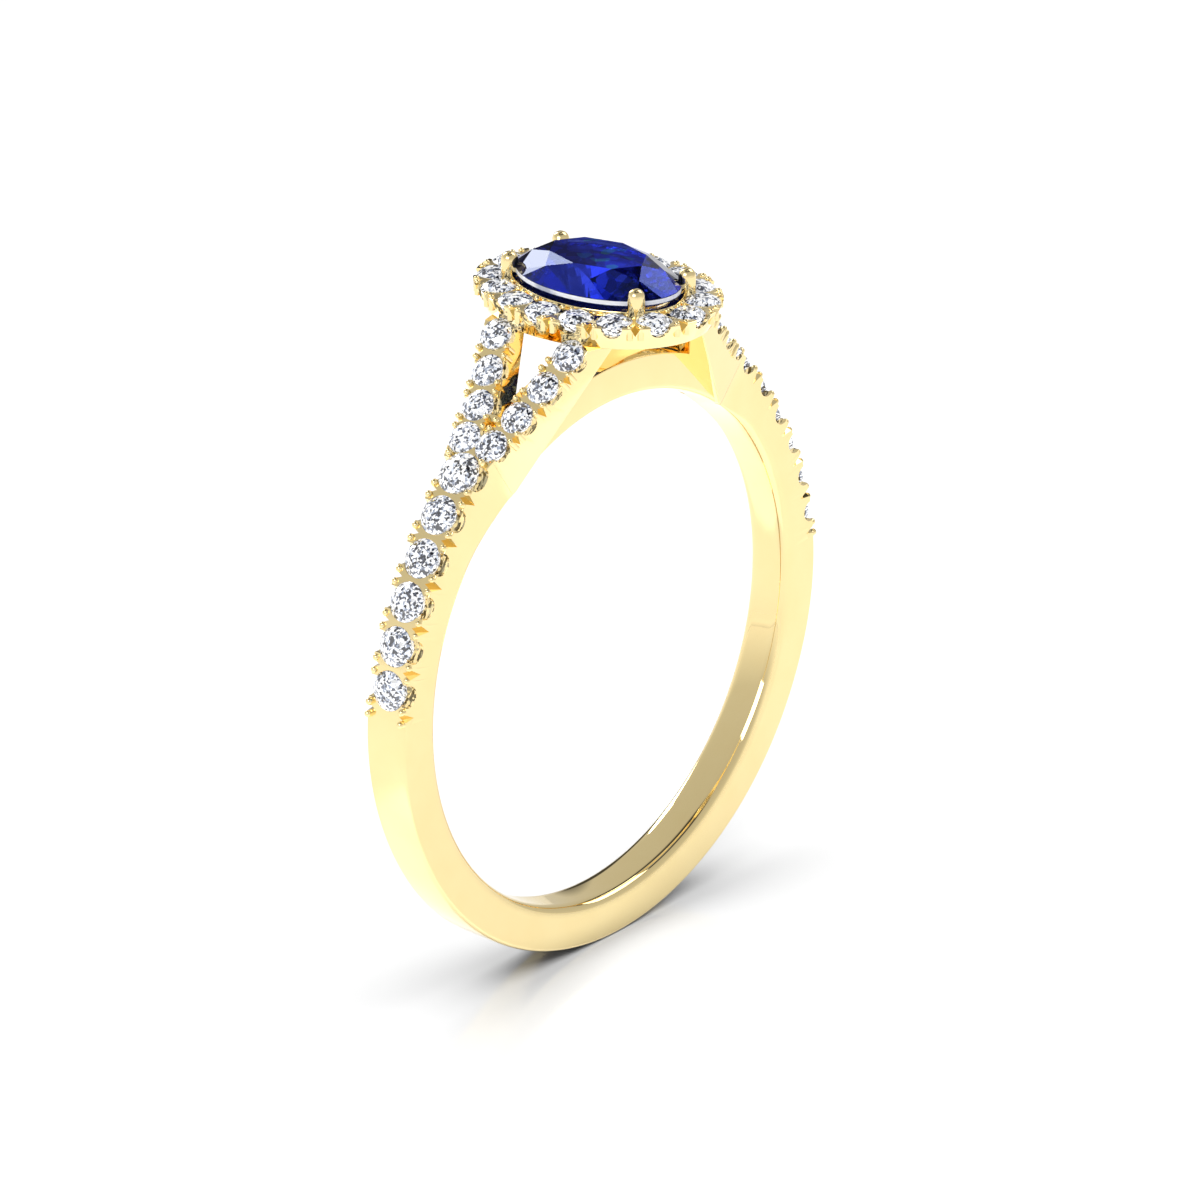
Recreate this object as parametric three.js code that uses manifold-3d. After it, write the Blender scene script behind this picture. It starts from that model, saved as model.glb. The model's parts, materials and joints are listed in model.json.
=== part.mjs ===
// Engagement ring in yellow gold: an oval sapphire inside a halo of small round stones, on a band whose
// shoulders carry a single row of stones and then split into two arms each.
// Millimetres. The origin is the centre of the finger hole, +Y runs along the hole and +Z points at the head.
import * as THREE from 'three';
import { ConvexGeometry } from 'three/addons/geometries/ConvexGeometry.js';
import { mergeVertices } from 'three/addons/utils/BufferGeometryUtils.js';
import Module from 'manifold-3d';

const wasm = await Module();
wasm.setup();

// ---------------------------------------------------------------- driving dimensions
const BORE_RADIUS = 8.65; // a finger hole 17.3 mm across
const HOOP_RADIUS = 10.17;
const BRIDGE_RADIUS = 9.87; // the arch under the head is thinner than the hoop
const HALF_WIDTH = 0.8;
const COMFORT_EDGE = 0.2; // rounding next to the finger
const OUTER_EDGE = 0.07;
const HOOP_SEGMENTS = 60;
const SPLIT_ANGLE = 54; // degrees above the horizontal, where the hoop ends and the arms begin
const JOINT_GAP = 0.02; // solder joint between two gold pieces
const SEAT_GAP = 0.015; // clearance round a stone

const ROW = { count: 6, start: 9.9, pitch: 8.08, radius: 10.13, rise: 0.14, riseAfter: 3 };
const ROW_STONE_RADIUS = 0.64;
const JUNCTION_STONE_RADIUS = 0.7; // the last stone of the row, where the shoulder splits
const ARM_STONES = [ // on the right front arm: distance out in x, distance from the middle in y, height
  [5.75, 0.55, 8.78],
  [4.83, 0.81, 9.52],
  [3.99, 1.15, 10.36],
  [3.18, 1.49, 11.27],
];
const ARM_NORMAL = [0.7, 0, 0.714];
const ARM_STONE_RADIUS = 0.55;
const ARM_PITCH = 1.24;
const ARM_CREST = { x: 6.62, z: 8.04, y: 0.8, slope: 0.366 }; // upper outer edge: y grows by slope inwards
const ARM_SOLE = { x: 5.01, z: 7.055, y: 0.88, slope: 0.51, rise: 1.48 }; // lower outer edge, from the bore
// the inside line of the rising shoulder: its radius, its angles in degrees, and the height of its foot
const SHOULDER_INSIDE = { radius: 8.95, from: 56, to: 34, step: 4, z: 6.2 };
const CROTCH = { crestX: 4.9, crestZ: 9.45, soleX: 4.28, soleZ: 8.13, slope: 0.55, rise: 1.27, reach: 3.2 };

const HALO = { count: 16, a: 2.68, b: 3.68, girdle: 12.25, top: 12.32, bottom: 11.5 };
const HALO_STONE_RADIUS = 0.57;
const HALO_OUTER = [3.4, 4.4];
const HALO_TAPER = 0.905; // the halo plate's foot, as a share of its rim
const HALO_INNER = [2.12, 3.12];
const RAIL_OUTER = [2.09, 3.09];
const RAIL_INNER = [1.64, 2.64];
const RAIL_HEIGHT = [11.6, 12.42];
const OVAL_SEGMENTS = 48;

const CENTRE_STONE = { a: 2, b: 3, base: 12.55 };
const CENTRE_CUT = { table: 0.6, crown: 0.69, girdle: 0.2, pavilion: 1.65, sides: 32 };
const CLAW = { x: 1.237, y: 2.618, radius: 0.27, foot: 11.62, top: 13.22, sides: 12 };

const SMALL_CUT = { table: 0.56, crown: 0.3, girdle: 0.07, pavilion: 0.86, sides: 16 }; // in stone radii
const LOWER_RING = 0.22; // where the pavilion's lower facets meet, in stone radii
const PRONG = { sides: 6, depth: 0.3, proud: 0.2 }; // depth and height from the girdle, in mm and in radii
const ROW_PRONG = { radius: 0.17, across: 0.64 };
const ARM_PRONG = { radius: 0.14, across: 0.43 };
const HALO_PRONG = { radius: 0.15, across: -0.5, innerRadius: 0.1, innerAcross: 0.42 };
const NOTCH = { sides: 10, share: 0.6 }; // round notch sawn under a stone, as a share of the stone's radius
const ROW_NOTCH = { from: -2, to: 2 }; // how far each notch runs across its row
const ARM_NOTCH = { from: -1, to: 1 };
const HALO_NOTCH = { from: -1.2, to: 0 }; // only through the outer wall
const CUT_MARGIN = 1; // how far a cutter stands out of what it cuts
const PAST_SIDES = 6; // a half-width, and a reach, beyond the whole ring
const PAST_TOP = 25;

// ---------------------------------------------------------------- materials
const GOLD = { color: 0xf3d27a, roughness: 0.12, metalness: 1 };
const SAPPHIRE = { color: 0x1426a8, roughness: 0.03, metalness: 0 };
const DIAMOND = { color: 0xf2f5fa, roughness: 0.03, metalness: 0 };

// ---------------------------------------------------------------- solids from three.js geometry
function solidOf(geometry) {
  const bare = geometry.clone();
  bare.deleteAttribute('normal');
  bare.deleteAttribute('uv');
  const merged = mergeVertices(bare, 1e-5);
  const vertProperties = new Float32Array(merged.attributes.position.array);
  const triVerts = new Uint32Array(merged.index.array);
  return new wasm.Manifold(new wasm.Mesh({ numProp: 3, vertProperties, triVerts }));
}

function geometryOf(solid) {
  const mesh = solid.getMesh();
  const geometry = new THREE.BufferGeometry();
  geometry.setAttribute('position', new THREE.BufferAttribute(mesh.vertProperties, 3));
  geometry.setIndex(new THREE.BufferAttribute(mesh.triVerts, 1));
  geometry.computeVertexNormals();
  return geometry;
}

const polar = (radius, degrees) => {
  const angle = THREE.MathUtils.degToRad(degrees);
  return [radius * Math.cos(angle), radius * Math.sin(angle)];
};

const outline = (points) => new THREE.Shape(points.map(([u, v]) => new THREE.Vector2(u, v)));

// A plate with its outline in x and z, as thick along y as twice the half-width.
function sidePlate(points, halfWidth) {
  const geometry = new THREE.ExtrudeGeometry(outline(points), { depth: 2 * halfWidth, bevelEnabled: false });
  return geometry.rotateX(Math.PI / 2).translate(0, halfWidth, 0);
}

// A body of revolution about the finger hole's axis, from a closed outline of [radius, y] points.
function hoopOf(points) {
  const closed = [...points, points[0]].map(([radius, y]) => new THREE.Vector2(radius, y));
  return new THREE.LatheGeometry(closed, HOOP_SEGMENTS);
}

// An upright oval drum with half-axes a and b at its top, and the same times taper at its foot.
function drum([a, b], z0, z1, taper = 1) {
  const geometry = new THREE.CylinderGeometry(1, taper, z1 - z0, OVAL_SEGMENTS);
  return geometry.rotateX(Math.PI / 2).scale(a, b, 1).translate(0, 0, (z0 + z1) / 2);
}

// ---------------------------------------------------------------- stones
// A brilliant cut with its table up: eight kites and eight stars round an eight-sided table, and eight
// mains down to the culet. All lengths are in girdle radii, and the girdle's foot is at height 0.
function brilliant({ table, crown, girdle, pavilion, sides }, scaleX, scaleY, scaleZ) {
  const points = [];
  const ringOf = (radius, height, count, offset) => {
    for (let i = 0; i < count; i += 1) {
      const [x, y] = polar(radius, (i * 360) / count + offset);
      points.push(new THREE.Vector3(x * scaleX, y * scaleY, height * scaleZ));
    }
  };
  const halfStep = Math.cos(Math.PI / 8);
  const starRadius = (1 + table) / 2;
  const starHeight = (crown * (1 - starRadius * halfStep)) / (1 - table);
  const lowerHeight = -pavilion * (1 - LOWER_RING * halfStep);
  ringOf(table, girdle + crown, 8, 0);
  ringOf(starRadius, girdle + starHeight, 8, 22.5);
  ringOf(1, girdle, sides, 0);
  ringOf(1, 0, sides, 0);
  ringOf(LOWER_RING, lowerHeight, 8, 22.5);
  points.push(new THREE.Vector3(0, 0, -pavilion * scaleZ));
  return new ConvexGeometry(points);
}

const smallStone = (radius) => brilliant(SMALL_CUT, radius, radius, radius);

function centreStone(grow) {
  const { a, b } = CENTRE_STONE;
  const cut = { ...CENTRE_CUT, pavilion: CENTRE_CUT.pavilion * (1 + grow / a) };
  return brilliant(cut, a + grow, b + grow, 1).translate(0, 0, CENTRE_STONE.base);
}

// The hole that a small stone drops into, open at the top.
function seatCutter(radius) {
  const wide = radius + SEAT_GAP;
  const deep = radius * SMALL_CUT.pavilion + 2 * SEAT_GAP;
  const profile = [[0, -deep], [wide, -SEAT_GAP], [wide, radius], [0, radius]];
  const points = profile.map(([r, h]) => new THREE.Vector2(r, h));
  return new THREE.LatheGeometry(points, SMALL_CUT.sides).rotateX(Math.PI / 2);
}

// The round notch sawn across the metal under a stone, which lets light in from the side.
function notchCutter(radius, from, to) {
  return new THREE.CylinderGeometry(radius, radius, to - from, NOTCH.sides).translate(0, (from + to) / 2, 0);
}

// ---------------------------------------------------------------- rows of stones
// Each row is a function of a real number k: whole numbers are stones, and halves are the shared prongs
// between them. It gives a frame with x along the row, y across it and z out of the table.
function frameAt(pathAt, normalAt, k) {
  const step = 0.05;
  const along = pathAt(k + step).sub(pathAt(k - step)).normalize();
  const normal = normalAt(k, along).normalize();
  const across = normal.clone().cross(along).normalize();
  along.crossVectors(across, normal);
  return new THREE.Matrix4().makeBasis(along, across, normal).setPosition(pathAt(k));
}

function shoulderRow(side) {
  const pathAt = (k) => {
    const radius = ROW.radius + ROW.rise * Math.max(0, k - ROW.riseAfter);
    const [x, z] = polar(radius, ROW.start + k * ROW.pitch);
    return new THREE.Vector3(side * x, 0, z);
  };
  const normalAt = (k, along) => new THREE.Vector3(side * along.z, 0, -side * along.x);
  return (k) => frameAt(pathAt, normalAt, k);
}

function armRow(side, face) {
  const curve = new THREE.CatmullRomCurve3(
    ARM_STONES.map(([x, y, z]) => new THREE.Vector3(side * x, face * y, z)),
  );
  const last = ARM_STONES.length - 1;
  const pathAt = (k) => {
    const inside = THREE.MathUtils.clamp(k, 0, last);
    const point = curve.getPoint(inside / last);
    return point.addScaledVector(curve.getTangent(inside / last), (k - inside) * ARM_PITCH);
  };
  const normalAt = () => new THREE.Vector3(side * ARM_NORMAL[0], 0, ARM_NORMAL[2]);
  return (k) => frameAt(pathAt, normalAt, k);
}

function haloRow() {
  const curve = new THREE.EllipseCurve(0, 0, HALO.a, HALO.b);
  curve.arcLengthDivisions = 720;
  const pathAt = (k) => {
    const point = curve.getPointAt((((k / HALO.count) % 1) + 1) % 1);
    return new THREE.Vector3(point.x, point.y, HALO.girdle);
  };
  return (k) => frameAt(pathAt, () => new THREE.Vector3(0, 0, 1), k);
}

const SIDES = [['left', -1], ['right', 1]];
const FACES = [['front', -1], ['back', 1]];
const haloFrame = haloRow();

const stones = [];
const addStone = (name, radius, frame) => stones.push({ name, radius, frame });
for (let k = 0; k < HALO.count; k += 1) {
  addStone(`halo_stone_${String(k + 1).padStart(2, '0')}`, HALO_STONE_RADIUS, haloFrame(k));
}
for (const [sideName, side] of SIDES) {
  const rowFrame = shoulderRow(side);
  for (let k = 0; k < ROW.count; k += 1) {
    const radius = k === ROW.count - 1 ? JUNCTION_STONE_RADIUS : ROW_STONE_RADIUS;
    addStone(`shoulder_stone_${sideName}_${k + 1}`, radius, rowFrame(k));
  }
  for (const [faceName, face] of FACES) {
    const armFrame = armRow(side, face);
    for (let k = 0; k < ARM_STONES.length; k += 1) {
      addStone(`arm_stone_${sideName}_${faceName}_${k + 1}`, ARM_STONE_RADIUS, armFrame(k));
    }
  }
}
const stonesNamed = (start) => stones.filter((stone) => stone.name.startsWith(start));

const moved = (geometry, frame) => solidOf(geometry.applyMatrix4(frame));

// Cuts the seats of the given stones, with the sawn notch across each when from and to are given.
function cutSeats(solid, chosen, notch) {
  let cut = solid;
  for (const { radius, frame } of chosen) {
    cut = cut.subtract(moved(seatCutter(radius), frame));
    if (notch) {
      cut = cut.subtract(moved(notchCutter(radius * NOTCH.share, notch.from, notch.to), frame));
    }
  }
  return cut;
}

// A prong beside the row: across is its distance from the row's middle.
function prong(frame, radius, across, stoneRadius) {
  const height = PRONG.depth + PRONG.proud * stoneRadius;
  const post = new THREE.CylinderGeometry(radius * 0.75, radius, height, PRONG.sides);
  post.rotateX(Math.PI / 2).translate(0, across, height / 2 - PRONG.depth);
  return moved(post, frame);
}

// ---------------------------------------------------------------- hoop, bridge and arms
function bandSection(outerRadius) {
  const bore = BORE_RADIUS;
  const fillet = COMFORT_EDGE;
  const half = [
    [bore, HALF_WIDTH - fillet],
    [bore + 0.3 * fillet, HALF_WIDTH - 0.3 * fillet],
    [bore + fillet, HALF_WIDTH],
    [outerRadius - OUTER_EDGE, HALF_WIDTH],
    [outerRadius, HALF_WIDTH - OUTER_EDGE],
  ];
  return [...half.map(([radius, y]) => [radius, -y]), ...half.reverse()];
}

// Everything above two planes through the finger hole's axis, one on each shoulder.
function headWedge(gap) {
  const lift = gap / Math.cos(THREE.MathUtils.degToRad(SPLIT_ANGLE));
  const [x, z] = polar(PAST_TOP, SPLIT_ANGLE);
  return solidOf(sidePlate([[0, lift], [x, z + lift], [-x, z + lift]], PAST_SIDES));
}

const convex = (points, side) => (
  solidOf(new ConvexGeometry(points.map(([x, y, z]) => new THREE.Vector3(side * x, y, z))))
);

// The shoulder's top line in x and z, from the round hoop to just past the row's last stone.
function shoulderTop() {
  const rowFrame = shoulderRow(1);
  const points = [];
  for (let k = ROW.riseAfter; k < ROW.count; k += 0.5) {
    const point = new THREE.Vector3().setFromMatrixPosition(rowFrame(k));
    points.push([point.x, point.z]);
  }
  return points;
}

// The upper and lower outer edges of an arm are straight lines that open out towards the head.
const crestY = (x) => ARM_CREST.y + ARM_CREST.slope * (ARM_CREST.x - x);
const soleY = (x) => ARM_SOLE.y + ARM_SOLE.slope * (ARM_SOLE.x - x);
const soleX = (z) => ARM_SOLE.x - (z - ARM_SOLE.z) / ARM_SOLE.rise;

// The last stretch of the shoulder, where it rises off the round hoop and begins to widen.
function shoulderBlock(side) {
  const top = shoulderTop();
  const inner = [];
  for (let angle = SHOULDER_INSIDE.from; angle >= SHOULDER_INSIDE.to; angle -= SHOULDER_INSIDE.step) {
    inner.push(polar(SHOULDER_INSIDE.radius, angle));
  }
  const profile = [...top, ...inner].map(([x, z]) => [side * x, z]);
  const rise = solidOf(sidePlate(profile, HALF_WIDTH));
  const corners = [];
  for (const face of [-1, 1]) {
    const [topX, topZ] = top.at(-1);
    const [lowX, lowZ] = inner[0];
    corners.push([ARM_CREST.x, face * HALF_WIDTH, ARM_CREST.z]);
    corners.push([topX, face * crestY(topX), topZ]);
    corners.push([lowX, face * soleY(lowX), lowZ]);
    corners.push([ARM_CREST.x, face * HALF_WIDTH, SHOULDER_INSIDE.z]);
  }
  return rise.add(convex(corners, side));
}

function shank() {
  let solid = solidOf(hoopOf(bandSection(HOOP_RADIUS)));
  for (const [sideName, side] of SIDES) {
    const rowFrame = shoulderRow(side);
    solid = solid.add(shoulderBlock(side));
    for (let k = -0.5; k < ROW.count; k += 1) {
      for (const across of [-ROW_PRONG.across, ROW_PRONG.across]) {
        solid = solid.add(prong(rowFrame(k), ROW_PRONG.radius, across, ROW_STONE_RADIUS));
      }
    }
    solid = solid.subtract(headWedge(0));
    solid = cutSeats(solid, stonesNamed(`shoulder_stone_${sideName}`), ROW_NOTCH);
    solid = cutSeats(solid, stonesNamed(`arm_stone_${sideName}`));
  }
  return solid;
}

// The V between two arms, seen from above.
function crotchWedge(side) {
  const { crestX, crestZ, soleX: footX, soleZ: footZ, slope, rise, reach } = CROTCH;
  const corners = [];
  for (const share of [-1, 2]) {
    const x = footX + share * (crestX - footX);
    const z = footZ + share * (crestZ - footZ);
    corners.push([x, 0, z]);
    for (const face of [-1, 1]) {
      corners.push([x - reach, face * slope * reach, z + rise * reach]);
    }
  }
  return convex(corners, side);
}

function armBlock(side, face, grow) {
  const topZ = HALO.bottom - JOINT_GAP;
  const crest = shoulderTop().at(-1);
  const stonesTop = ARM_STONES.map(([x, , z]) => [x, z]);
  const [lastX, lastZ] = stonesTop.at(-1);
  const tipX = lastX - (topZ - lastZ);
  const [rootX, rootZ] = polar(BORE_RADIUS, SPLIT_ANGLE - 2);
  const profile = [[rootX, rootZ], crest, ...stonesTop, [tipX, topZ], [soleX(topZ) - grow, topZ],
    [ARM_SOLE.x - grow, ARM_SOLE.z]].map(([x, z]) => [side * x, z]);
  const middle = face * (JOINT_GAP / 2 - grow);
  const edges = [
    [rootX, soleY(rootX), rootZ],
    [crest[0], crestY(crest[0]), crest[1]],
    [tipX, crestY(tipX), topZ],
    [soleX(topZ) - grow, soleY(soleX(topZ)), topZ],
  ];
  const corners = edges.flatMap(([x, y, z]) => [[x, face * (y + grow), z], [x, middle, z]]);
  const block = convex(corners, side).intersect(solidOf(sidePlate(profile, PAST_SIDES)));
  return block.intersect(headWedge(grow > 0 ? 0 : JOINT_GAP)).subtract(crotchWedge(side));
}

function arm(sideName, side, faceName, face) {
  const armFrame = armRow(side, face);
  let solid = armBlock(side, face, 0);
  for (let k = 0.5; k < ARM_STONES.length - 1; k += 1) {
    for (const across of [-ARM_PRONG.across, ARM_PRONG.across]) {
      solid = solid.add(prong(armFrame(k), ARM_PRONG.radius, across, ARM_STONE_RADIUS));
    }
  }
  solid = cutSeats(solid, stonesNamed(`arm_stone_${sideName}_${faceName}`), ARM_NOTCH);
  return cutSeats(solid, stonesNamed(`shoulder_stone_${sideName}_${ROW.count}`));
}

function bridge() {
  let solid = solidOf(hoopOf(bandSection(BRIDGE_RADIUS)));
  solid = solid.intersect(headWedge(JOINT_GAP));
  for (const [, side] of SIDES) {
    for (const [, face] of FACES) {
      solid = solid.subtract(armBlock(side, face, JOINT_GAP));
    }
  }
  return solid;
}

// ---------------------------------------------------------------- head
function clawAt(x, y, grow) {
  const { radius, foot, top, sides } = CLAW;
  const wide = radius + grow;
  const domeFoot = top - radius;
  const profile = [[0, foot - grow], [wide, foot - grow]];
  for (let angle = 0; angle < 90; angle += 30) {
    const [r, h] = polar(radius, angle);
    profile.push([r + grow, domeFoot + h]);
  }
  profile.push([0, top + grow]);
  const points = profile.map(([r, h]) => new THREE.Vector2(r, h));
  return solidOf(new THREE.LatheGeometry(points, sides).rotateX(Math.PI / 2).translate(x, y, 0));
}

const clawPlaces = [];
for (const [sideName, side] of SIDES) {
  for (const [faceName, face] of FACES) {
    clawPlaces.push({ name: `claw_${sideName}_${faceName}`, x: side * CLAW.x, y: face * CLAW.y });
  }
}

function cutClawHoles(solid) {
  return clawPlaces.reduce((cut, { x, y }) => cut.subtract(clawAt(x, y, JOINT_GAP)), solid);
}

function claw({ x, y }) {
  const solid = clawAt(x, y, 0).subtract(solidOf(centreStone(2 * SEAT_GAP)));
  return cutSeats(solid, stonesNamed('halo_stone'));
}

function haloPlate() {
  let solid = solidOf(drum(HALO_OUTER, HALO.bottom, HALO.top, HALO_TAPER));
  solid = solid.subtract(solidOf(drum(HALO_INNER, HALO.bottom - CUT_MARGIN, HALO.top + CUT_MARGIN)));
  for (let k = 0.5; k < HALO.count; k += 1) {
    const { radius, across, innerRadius, innerAcross } = HALO_PRONG;
    solid = solid.add(prong(haloFrame(k), radius, across, HALO_STONE_RADIUS));
    solid = solid.add(prong(haloFrame(k), innerRadius, innerAcross, HALO_STONE_RADIUS));
  }
  solid = cutSeats(solid, stonesNamed('halo_stone'), HALO_NOTCH);
  const tucked = stones.filter(({ name }) => name.startsWith('arm_stone') && name.endsWith('_4'));
  return cutClawHoles(cutSeats(solid, tucked));
}

function seatRail() {
  const [low, high] = RAIL_HEIGHT;
  const hole = solidOf(drum(RAIL_INNER, low - CUT_MARGIN, high + CUT_MARGIN));
  const rail = solidOf(drum(RAIL_OUTER, low, high)).subtract(hole);
  return cutClawHoles(rail.subtract(solidOf(centreStone(2 * SEAT_GAP))));
}

// ---------------------------------------------------------------- assembly
const ring = new THREE.Group();

function addPiece(name, geometry, finish, frame) {
  const mesh = new THREE.Mesh(geometry, new THREE.MeshStandardMaterial(finish));
  mesh.name = name;
  if (frame) {
    mesh.applyMatrix4(frame);
  }
  ring.add(mesh);
}

addPiece('shank', geometryOf(shank()), GOLD);
addPiece('bridge', geometryOf(bridge()), GOLD);
for (const [sideName, side] of SIDES) {
  for (const [faceName, face] of FACES) {
    addPiece(`arm_${sideName}_${faceName}`, geometryOf(arm(sideName, side, faceName, face)), GOLD);
  }
}
addPiece('halo_plate', geometryOf(haloPlate()), GOLD);
addPiece('seat_rail', geometryOf(seatRail()), GOLD);
for (const place of clawPlaces) {
  addPiece(place.name, geometryOf(claw(place)), GOLD);
}
addPiece('centre_stone', centreStone(0), SAPPHIRE);
for (const { name, radius, frame } of stones) {
  addPiece(name, smallStone(radius), DIAMOND, frame);
}

export default ring;
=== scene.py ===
import json
import math

import bmesh
import bpy
import numpy as np
from mathutils import Matrix, Vector

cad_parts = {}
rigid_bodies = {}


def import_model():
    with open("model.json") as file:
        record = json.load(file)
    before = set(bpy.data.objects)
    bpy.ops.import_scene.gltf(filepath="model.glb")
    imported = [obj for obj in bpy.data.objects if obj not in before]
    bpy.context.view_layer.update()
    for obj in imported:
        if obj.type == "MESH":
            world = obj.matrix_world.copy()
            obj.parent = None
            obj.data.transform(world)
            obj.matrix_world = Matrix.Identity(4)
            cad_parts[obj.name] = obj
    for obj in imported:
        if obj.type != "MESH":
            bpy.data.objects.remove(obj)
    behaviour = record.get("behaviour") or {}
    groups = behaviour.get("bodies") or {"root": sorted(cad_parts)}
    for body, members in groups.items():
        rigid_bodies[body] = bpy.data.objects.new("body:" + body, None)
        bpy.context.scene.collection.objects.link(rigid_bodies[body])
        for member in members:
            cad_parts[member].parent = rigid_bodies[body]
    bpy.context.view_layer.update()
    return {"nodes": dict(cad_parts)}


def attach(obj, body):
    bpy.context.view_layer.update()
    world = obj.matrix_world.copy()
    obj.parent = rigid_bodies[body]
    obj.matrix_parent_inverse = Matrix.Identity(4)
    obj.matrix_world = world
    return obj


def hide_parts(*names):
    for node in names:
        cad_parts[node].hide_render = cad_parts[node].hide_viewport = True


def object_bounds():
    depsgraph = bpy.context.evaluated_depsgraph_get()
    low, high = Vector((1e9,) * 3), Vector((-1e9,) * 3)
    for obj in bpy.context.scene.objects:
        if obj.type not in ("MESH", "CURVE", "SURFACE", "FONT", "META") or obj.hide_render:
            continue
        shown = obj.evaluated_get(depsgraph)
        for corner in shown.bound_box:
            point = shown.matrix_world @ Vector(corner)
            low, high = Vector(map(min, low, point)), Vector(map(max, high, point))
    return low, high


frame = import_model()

# Shapes are worked out in millimetres, in the CAD model's frame, and stored in metres.
MM = 0.001

# ---------------------------------------------------------------- driving dimensions, in mm and degrees
COMFORT_EDGE = 0.4                     # rounding next to the finger, on the band
BRIDGE_EDGE = 0.2                      # the same on the bridge
CRISP_EDGE = 0.05
SOFT_EDGE = 0.16                       # rounding of the plain lower band
RISES_FROM = 20.0                      # angle above the horizontal from which the band may thicken
WIDENS_FROM = 30.0                     # the same for its width
CRISP_FROM = 36.0                      # angle from which its inner edge grows sharper
SPLIT_ANGLE = 54.0                     # angle at which the arms leave the band
PLAIN_BELOW = 30.0                     # angle below the horizontal from which its outer edge is fully soft
CREST = {"x": 6.62, "slope": 0.366}    # an arm's upper outer edge
SOLE = {"x": 5.01, "z": 7.055, "y": 0.88, "slope": 0.51, "rise": 1.48}  # its lower outer edge
CROTCH = {"crest_x": 4.9, "sole_x": 4.28, "slope": 0.55}
ARM_OVERLAP = 0.02                     # how far an arm reaches past the collar's foot
NEAREST_TIP = 1.5                      # an arm ends further out than this
HALO_TAPER = 0.905                     # the collar's foot, as a share of its rim
HALO_INNER = (2.12, 3.12)
RAIL_WIDTH = 0.45
CLAW_RADIUS = 0.28
SHARP_ANGLE = 33.0                     # edges sharper than this aren't smoothed
BAND_STEPS, BRIDGE_STEPS, ARM_STEPS, OVAL_STEPS = 240, 90, 60, 192
CENTRE_SIDES, SMALL_SIDES = 128, 48    # of the round drums that the stones are ground from

SIDES = (("left", -1), ("right", 1))
FACES = (("front", -1), ("back", 1))


# ---------------------------------------------------------------- what the CAD says, in mm
def points_of(node):
    return np.array([vertex.co for vertex in frame["nodes"][node].data.vertices]) / MM


def corners(node):
    points = points_of(node)
    return points.min(0), points.max(0)


def nodes_called(start):
    return sorted(name for name in frame["nodes"] if name.startswith(start))


BORE = np.hypot(*points_of("bridge")[:, [0, 2]].T).min()
HOOP = -corners("shank")[0][2]
BRIDGE = corners("bridge")[1][2]
HALF_WIDTH = corners("bridge")[1][1]


# ---------------------------------------------------------------- mesh helpers
def new_object(name, mesh):
    built = bpy.data.objects.new(name, mesh)
    bpy.context.scene.collection.objects.link(built)
    return built


def to_object(name, verts, faces):
    mesh = bpy.data.meshes.new(name)
    mesh.from_pydata([tuple(v) for v in verts], [], faces)
    fix = bmesh.new()
    fix.from_mesh(mesh)
    bmesh.ops.recalc_face_normals(fix, faces=fix.faces)
    fix.to_mesh(mesh)
    fix.free()
    return new_object(name, mesh)


def loft(name, rings, closed=False):
    """A solid through rings that all have the same number of points. It is capped unless it is closed."""
    count = len(rings[0])
    verts = np.concatenate([np.asarray(ring, float) for ring in rings])
    faces = []
    for i in range(len(rings) if closed else len(rings) - 1):
        here, there = i * count, ((i + 1) % len(rings)) * count
        for j in range(count):
            k = (j + 1) % count
            faces.append((here + j, here + k, there + k, there + j))
    if not closed:
        last = (len(rings) - 1) * count
        faces.append(tuple(range(count)))
        faces.append(tuple(range(last, last + count)))
    return to_object(name, verts, faces)


def rounded(points, radii, steps=5):
    """A closed outline with each corner replaced by a curve of its own radius."""
    pts = [np.array(p, float) for p in points]
    out = []
    for i, corner in enumerate(pts):
        before, after = pts[i - 1] - corner, pts[(i + 1) % len(pts)] - corner
        limit = 0.45 * min(np.linalg.norm(before), np.linalg.norm(after))
        before, after = before / np.linalg.norm(before), after / np.linalg.norm(after)
        angle = math.acos(float(np.clip(before @ after, -1, 1)))
        cut = min(radii[i] / math.tan(angle / 2), limit)
        start, end = corner + before * cut, corner + after * cut
        for t in np.linspace(0, 1, steps + 1):
            out.append((1 - t) ** 2 * start + 2 * t * (1 - t) * corner + t * t * end)
    return out


def applied(built):
    """The object with its modifiers worked into its mesh."""
    evaluated = built.evaluated_get(bpy.context.evaluated_depsgraph_get())
    mesh = bpy.data.meshes.new_from_object(evaluated)
    built.modifiers.clear()
    built.data = mesh
    return built


def combine(target, operation, parts):
    """Cuts away or adds solids that don't touch each other. The solids are used up."""
    whole = bmesh.new()
    for part in parts:
        whole.from_mesh(part.data)
        bpy.data.objects.remove(part)
    mesh = bpy.data.meshes.new("cutter")
    whole.to_mesh(mesh)
    whole.free()
    cutter = new_object("cutter", mesh)
    step = target.modifiers.new("cut", "BOOLEAN")
    step.operation = operation
    step.solver = "MANIFOLD"
    step.object = cutter
    applied(target)
    bpy.data.objects.remove(cutter)
    return target


def lathe(name, profile, place, sides):
    """A solid of revolution about the local z axis, from (radius, height) points on the way up."""
    rings = []
    for radius, height in profile:
        turns = np.linspace(0, 2 * math.pi, sides, endpoint=False)
        rings.append([(radius * math.cos(a), radius * math.sin(a), height) for a in turns])
    built = loft(name, rings)
    built.data.transform(place)
    return built


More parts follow.
